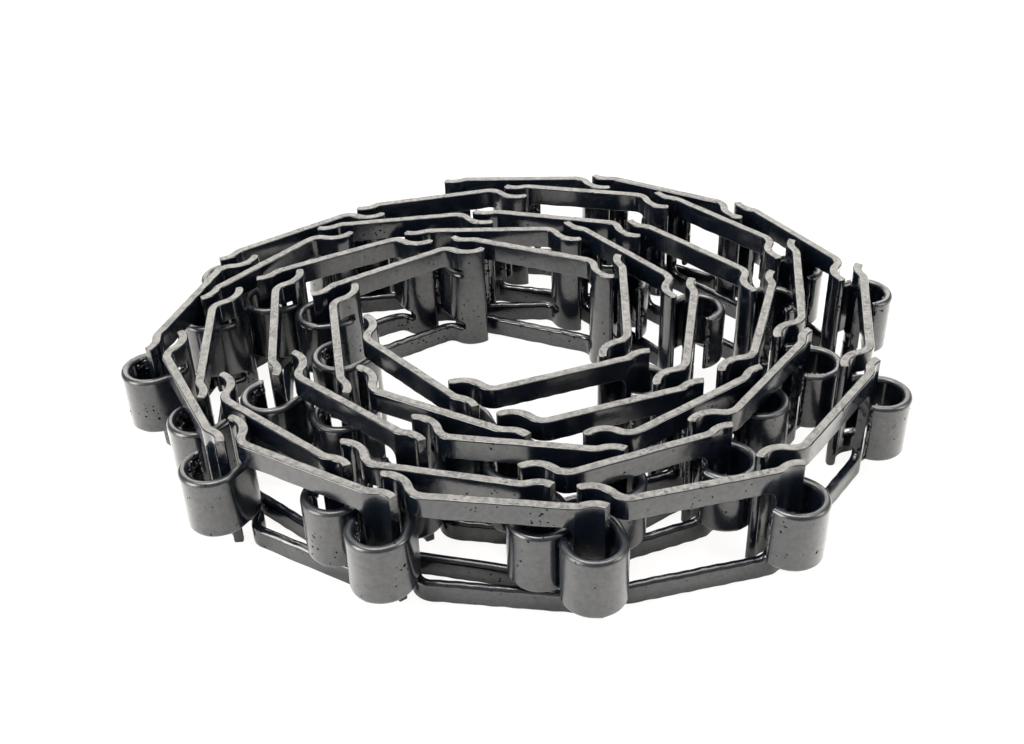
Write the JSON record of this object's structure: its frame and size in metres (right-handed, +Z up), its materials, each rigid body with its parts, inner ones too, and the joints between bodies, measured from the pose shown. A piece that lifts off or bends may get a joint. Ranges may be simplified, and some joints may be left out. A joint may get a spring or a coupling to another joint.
{
  "type": "conveyor chain",
  "caption": "Coiled steel detachable conveyor chain: each stamped link's rolled hook pivots on the arched end bar of the next link.",
  "frame": {"origin": "middle of the coil's footprint, on the plane that the links' lower edges stand on", "axes": "+Z up, along every hinge axis; +X along the coil's long side; +Y towards the side where the outermost link's free end bar lies"},
  "size_m": [0.2598, 0.2208, 0.039],
  "materials": {
    "black_dip_paint": "gloss black dip paint over pressed steel"
  },
  "bodies": {
    "link_01": {"link_01": "black_dip_paint"},
    "link_02": {"link_02": "black_dip_paint"},
    "link_03": {"link_03": "black_dip_paint"},
    "link_04": {"link_04": "black_dip_paint"},
    "link_05": {"link_05": "black_dip_paint"},
    "link_06": {"link_06": "black_dip_paint"},
    "link_07": {"link_07": "black_dip_paint"},
    "link_08": {"link_08": "black_dip_paint"},
    "link_09": {"link_09": "black_dip_paint"},
    "link_10": {"link_10": "black_dip_paint"},
    "link_11": {"link_11": "black_dip_paint"},
    "link_12": {"link_12": "black_dip_paint"},
    "link_13": {"link_13": "black_dip_paint"},
    "link_14": {"link_14": "black_dip_paint"},
    "link_15": {"link_15": "black_dip_paint"},
    "link_16": {"link_16": "black_dip_paint"},
    "link_17": {"link_17": "black_dip_paint"},
    "link_18": {"link_18": "black_dip_paint"},
    "link_19": {"link_19": "black_dip_paint"},
    "link_20": {"link_20": "black_dip_paint"},
    "link_21": {"link_21": "black_dip_paint"},
    "link_22": {"link_22": "black_dip_paint"},
    "link_23": {"link_23": "black_dip_paint"},
    "link_24": {"link_24": "black_dip_paint"},
    "link_25": {"link_25": "black_dip_paint"},
    "link_26": {"link_26": "black_dip_paint"},
    "link_27": {"link_27": "black_dip_paint"},
    "link_28": {"link_28": "black_dip_paint"},
    "link_29": {"link_29": "black_dip_paint"},
    "link_30": {"link_30": "black_dip_paint"},
    "link_31": {"link_31": "black_dip_paint"},
    "link_32": {"link_32": "black_dip_paint"},
    "link_33": {"link_33": "black_dip_paint"},
    "link_34": {"link_34": "black_dip_paint"},
    "link_35": {"link_35": "black_dip_paint"},
    "link_36": {"link_36": "black_dip_paint"},
    "link_37": {"link_37": "black_dip_paint"},
    "link_38": {"link_38": "black_dip_paint"},
    "link_39": {"link_39": "black_dip_paint"},
    "link_40": {"link_40": "black_dip_paint"},
    "link_41": {"link_41": "black_dip_paint"}
  },
  "joints": [
    {"name": "hinge_01", "type": "hinge", "parent": "link_02", "child": "link_01", "pos_m": [0.03927, 0.09817, 0.0195], "axis": [0, 0, -1], "range_deg": [0, 42.5]},
    {"name": "hinge_02", "type": "hinge", "parent": "link_03", "child": "link_02", "pos_m": [0.08977, 0.06843, 0.0195], "axis": [0, 0, -1], "range_deg": [-43, 49]},
    {"name": "hinge_03", "type": "hinge", "parent": "link_04", "child": "link_03", "pos_m": [0.11951, 0.01793, 0.0195], "axis": [0, 0, -1], "range_deg": [-30.5, 61.5]},
    {"name": "hinge_04", "type": "hinge", "parent": "link_05", "child": "link_04", "pos_m": [0.10833, -0.03959, 0.0195], "axis": [0, 0, -1], "range_deg": [-45, 47]},
    {"name": "hinge_05", "type": "hinge", "parent": "link_06", "child": "link_05", "pos_m": [0.07225, -0.08577, 0.0195], "axis": [0, 0, -1], "range_deg": [-33, 59]},
    {"name": "hinge_06", "type": "hinge", "parent": "link_07", "child": "link_06", "pos_m": [0.01515, -0.09895, 0.0195], "axis": [0, 0, -1], "range_deg": [-50, 42]},
    {"name": "hinge_07", "type": "hinge", "parent": "link_08", "child": "link_07", "pos_m": [-0.04273, -0.08978, 0.0195], "axis": [0, 0, -1], "range_deg": [-49.5, 42.5]},
    {"name": "hinge_08", "type": "hinge", "parent": "link_09", "child": "link_08", "pos_m": [-0.09269, -0.05916, 0.0195], "axis": [0, 0, -1], "range_deg": [-40.5, 51.5]},
    {"name": "hinge_09", "type": "hinge", "parent": "link_10", "child": "link_09", "pos_m": [-0.1193, -0.00695, 0.0195], "axis": [0, 0, -1], "range_deg": [-27, 65]},
    {"name": "hinge_10", "type": "hinge", "parent": "link_10", "child": "link_11", "pos_m": [-0.10119, 0.04878, 0.0195], "axis": [0, 0, 1], "range_deg": [-34.5, 57.5]},
    {"name": "hinge_11", "type": "hinge", "parent": "link_11", "child": "link_12", "pos_m": [-0.05289, 0.08197, 0.0195], "axis": [0, 0, 1], "range_deg": [-49, 43]},
    {"name": "hinge_12", "type": "hinge", "parent": "link_12", "child": "link_13", "pos_m": [0.00453, 0.09366, 0.0195], "axis": [0, 0, 1], "range_deg": [-47, 45]},
    {"name": "hinge_13", "type": "hinge", "parent": "link_13", "child": "link_14", "pos_m": [0.06151, 0.07998, 0.0195], "axis": [0, 0, 1], "range_deg": [-37, 55]},
    {"name": "hinge_14", "type": "hinge", "parent": "link_14", "child": "link_15", "pos_m": [0.10034, 0.03609, 0.0195], "axis": [0, 0, 1], "range_deg": [-21.5, 70.5]},
    {"name": "hinge_15", "type": "hinge", "parent": "link_15", "child": "link_16", "pos_m": [0.09117, -0.02179, 0.0195], "axis": [0, 0, 1], "range_deg": [-43.5, 48.5]},
    {"name": "hinge_16", "type": "hinge", "parent": "link_16", "child": "link_17", "pos_m": [0.0555, -0.06828, 0.0195], "axis": [0, 0, 1], "range_deg": [-40, 52]},
    {"name": "hinge_17", "type": "hinge", "parent": "link_17", "child": "link_18", "pos_m": [0.00061, -0.0888, 0.0195], "axis": [0, 0, 1], "range_deg": [-37, 55]},
    {"name": "hinge_18", "type": "hinge", "parent": "link_18", "child": "link_19", "pos_m": [-0.05612, -0.07413, 0.0195], "axis": [0, 0, 1], "range_deg": [-45, 47]},
    {"name": "hinge_19", "type": "hinge", "parent": "link_19", "child": "link_20", "pos_m": [-0.10001, -0.0353, 0.0195], "axis": [0, 0, 1], "range_deg": [-28, 64]},
    {"name": "hinge_20", "type": "hinge", "parent": "link_20", "child": "link_21", "pos_m": [-0.10461, 0.02312, 0.0195], "axis": [0, 0, 1], "range_deg": [-26, 66]},
    {"name": "hinge_21", "type": "hinge", "parent": "link_21", "child": "link_22", "pos_m": [-0.06578, 0.06701, 0.0195], "axis": [0, 0, 1], "range_deg": [-30, 62]},
    {"name": "hinge_22", "type": "hinge", "parent": "link_22", "child": "link_23", "pos_m": [-0.00756, 0.07364, 0.0195], "axis": [0, 0, 1], "range_deg": [-50.5, 41.5]},
    {"name": "hinge_23", "type": "hinge", "parent": "link_23", "child": "link_24", "pos_m": [0.04905, 0.05847, 0.0195], "axis": [0, 0, 1], "range_deg": [-39, 53]},
    {"name": "hinge_24", "type": "hinge", "parent": "link_24", "child": "link_25", "pos_m": [0.08826, 0.01493, 0.0195], "axis": [0, 0, 1], "range_deg": [-12, 80]},
    {"name": "hinge_25", "type": "hinge", "parent": "link_25", "child": "link_26", "pos_m": [0.07015, -0.04081, 0.0195], "axis": [0, 0, 1], "range_deg": [-35, 57]},
    {"name": "hinge_26", "type": "hinge", "parent": "link_26", "child": "link_27", "pos_m": [0.02215, -0.07442, 0.0195], "axis": [0, 0, 1], "range_deg": [-26.5, 65.5]},
    {"name": "hinge_27", "type": "hinge", "parent": "link_27", "child": "link_28", "pos_m": [-0.03547, -0.06374, 0.0195], "axis": [0, 0, 1], "range_deg": [-40.5, 51.5]},
    {"name": "hinge_28", "type": "hinge", "parent": "link_28", "child": "link_29", "pos_m": [-0.07902, -0.02453, 0.0195], "axis": [0, 0, 1], "range_deg": [-30, 62]},
    {"name": "hinge_29", "type": "hinge", "parent": "link_29", "child": "link_30", "pos_m": [-0.08514, 0.03375, 0.0195], "axis": [0, 0, 1], "range_deg": [-3, 89]},
    {"name": "hinge_30", "type": "hinge", "parent": "link_30", "child": "link_31", "pos_m": [-0.03293, 0.06035, 0.0195], "axis": [0, 0, 1], "range_deg": [-43, 49]},
    {"name": "hinge_31", "type": "hinge", "parent": "link_31", "child": "link_32", "pos_m": [0.02563, 0.05831, 0.0195], "axis": [0, 0, 1], "range_deg": [-21.5, 70.5]},
    {"name": "hinge_32", "type": "hinge", "parent": "link_32", "child": "link_33", "pos_m": [0.06131, 0.01182, 0.0195], "axis": [0, 0, 1], "range_deg": [-23.5, 68.5]},
    {"name": "hinge_33", "type": "hinge", "parent": "link_33", "child": "link_34", "pos_m": [0.05012, -0.04571, 0.0195], "axis": [0, 0, 1], "range_deg": [-11.5, 80.5]},
    {"name": "hinge_34", "type": "hinge", "parent": "link_34", "child": "link_35", "pos_m": [-0.00545, -0.0643, 0.0195], "axis": [0, 0, 1], "range_deg": [-24, 68]},
    {"name": "hinge_35", "type": "hinge", "parent": "link_35", "child": "link_36", "pos_m": [-0.05645, -0.03544, 0.0195], "axis": [0, 0, 1], "range_deg": [-20, 72]},
    {"name": "hinge_36", "type": "hinge", "parent": "link_36", "child": "link_37", "pos_m": [-0.06511, 0.02251, 0.0195], "axis": [0, 0, 1], "range_deg": [-5, 87]},
    {"name": "hinge_37", "type": "hinge", "parent": "link_37", "child": "link_38", "pos_m": [-0.01515, 0.05313, 0.0195], "axis": [0, 0, 1], "range_deg": [-17, 75]},
    {"name": "hinge_38", "type": "hinge", "parent": "link_38", "child": "link_39", "pos_m": [0.03859, 0.02976, 0.0195], "axis": [0, 0, 1], "range_deg": [-2.5, 89.5]},
    {"name": "hinge_39", "type": "hinge", "parent": "link_39", "child": "link_40", "pos_m": [0.03553, -0.02875, 0.0195], "axis": [0, 0, 1], "range_deg": [-3.5, 88.5]},
    {"name": "hinge_40", "type": "hinge", "parent": "link_40", "child": "link_41", "pos_m": [-0.02005, -0.04735, 0.0195], "axis": [0, 0, 1], "range_deg": [-4.5, 87.5]}
  ],
  "couplings": [
    {"joint": "hinge_02", "follows": "hinge_01", "ratio": 0.97647},
    {"joint": "hinge_03", "follows": "hinge_01", "ratio": 1.2118},
    {"joint": "hinge_04", "follows": "hinge_01", "ratio": 0.81176},
    {"joint": "hinge_05", "follows": "hinge_01", "ratio": 1.0353},
    {"joint": "hinge_06", "follows": "hinge_01", "ratio": 0.57647},
    {"joint": "hinge_07", "follows": "hinge_01", "ratio": 0.28235},
    {"joint": "hinge_08", "follows": "hinge_01", "ratio": 0.063002},
    {"joint": "hinge_09", "follows": "hinge_01", "ratio": 0.014056},
    {"joint": "hinge_10", "follows": "hinge_01", "ratio": 0.003136},
    {"joint": "hinge_11", "follows": "hinge_01", "ratio": 0.000699},
    {"joint": "hinge_12", "follows": "hinge_01", "ratio": 0.000235},
    {"joint": "hinge_13", "follows": "hinge_01", "ratio": 0.000235},
    {"joint": "hinge_14", "follows": "hinge_01", "ratio": 0.000235},
    {"joint": "hinge_15", "follows": "hinge_01", "ratio": 0.000235},
    {"joint": "hinge_16", "follows": "hinge_01", "ratio": 0.000235},
    {"joint": "hinge_17", "follows": "hinge_01", "ratio": 0.000235},
    {"joint": "hinge_18", "follows": "hinge_01", "ratio": 0.000235},
    {"joint": "hinge_19", "follows": "hinge_01", "ratio": 0.000235},
    {"joint": "hinge_20", "follows": "hinge_01", "ratio": 0.000235},
    {"joint": "hinge_21", "follows": "hinge_01", "ratio": 0.000235},
    {"joint": "hinge_22", "follows": "hinge_01", "ratio": 0.000235},
    {"joint": "hinge_23", "follows": "hinge_01", "ratio": 0.000235},
    {"joint": "hinge_24", "follows": "hinge_01", "ratio": 0.000235},
    {"joint": "hinge_25", "follows": "hinge_01", "ratio": 0.000235},
    {"joint": "hinge_26", "follows": "hinge_01", "ratio": 0.000235},
    {"joint": "hinge_27", "follows": "hinge_01", "ratio": 0.000235},
    {"joint": "hinge_28", "follows": "hinge_01", "ratio": 0.000235},
    {"joint": "hinge_29", "follows": "hinge_01", "ratio": 0.000235},
    {"joint": "hinge_30", "follows": "hinge_01", "ratio": 0.000235},
    {"joint": "hinge_31", "follows": "hinge_01", "ratio": 0.000235},
    {"joint": "hinge_32", "follows": "hinge_01", "ratio": 0.000235},
    {"joint": "hinge_33", "follows": "hinge_01", "ratio": 0.000235},
    {"joint": "hinge_34", "follows": "hinge_01", "ratio": 0.000235},
    {"joint": "hinge_35", "follows": "hinge_01", "ratio": 0.000235},
    {"joint": "hinge_36", "follows": "hinge_01", "ratio": 0.000235},
    {"joint": "hinge_37", "follows": "hinge_01", "ratio": 0.000235},
    {"joint": "hinge_38", "follows": "hinge_01", "ratio": 0.000235},
    {"joint": "hinge_39", "follows": "hinge_01", "ratio": 0.000235},
    {"joint": "hinge_40", "follows": "hinge_01", "ratio": 0.000235}
  ]
}
